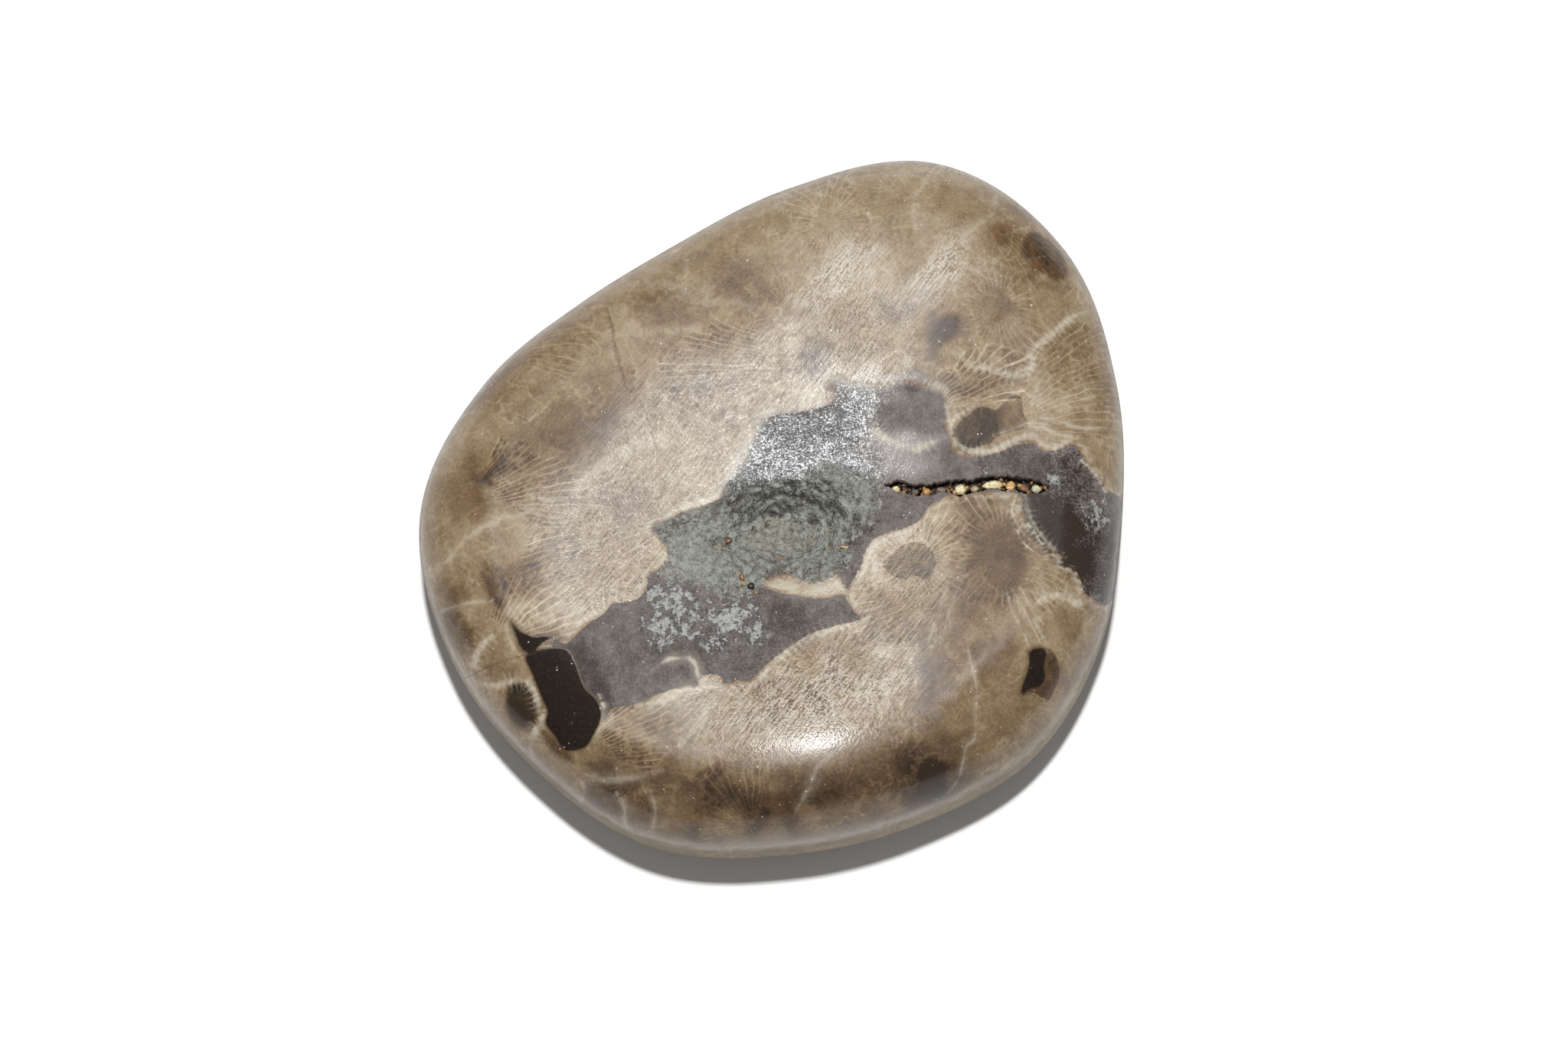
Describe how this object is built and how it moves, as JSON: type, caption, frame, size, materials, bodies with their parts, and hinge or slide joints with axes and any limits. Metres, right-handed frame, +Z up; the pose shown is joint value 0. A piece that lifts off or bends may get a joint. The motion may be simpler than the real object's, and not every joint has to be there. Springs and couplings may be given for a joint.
{
  "type": "polished petoskey stone",
  "caption": "Palm-sized polished pebble of fossil coral: brown stone with pale radiating cells, a dished top with a rough pit, a grit-filled crack and a small flat spot to rest on.",
  "frame": {"origin": "middle of the small flat spot that the stone rests on", "axes": "+Z up, away from the surface it rests on; seen from above with +Y away from the viewer, +X is to the right, the broad shoulder is at the upper right and the crack runs from the pit towards +X"},
  "size_m": [0.0716, 0.0714, 0.0223],
  "materials": {
    "coral_stone": "polished fossil coral: brown with pale radiating lines, dark mud patches and an unpolished grey-green crust in the pit",
    "cream_grit": "smooth pale grain",
    "amber_grit": "smooth orange-brown grain",
    "brown_grit": "dull dark grain"
  },
  "bodies": {
    "root": {"petoskey_stone": "coral_stone", "grain_cream_block": "cream_grit", "grain_grey_pebble": "brown_grit", "grain_amber": "amber_grit", "grain_brown_oval": "brown_grit", "grain_cream_pearl": "cream_grit", "grain_tan_bead": "amber_grit", "grain_cream_arch": "cream_grit", "grain_orange_bead": "amber_grit", "grain_red_splinter": "brown_grit", "grain_pale_bead": "cream_grit"}
  },
  "joints": []
}
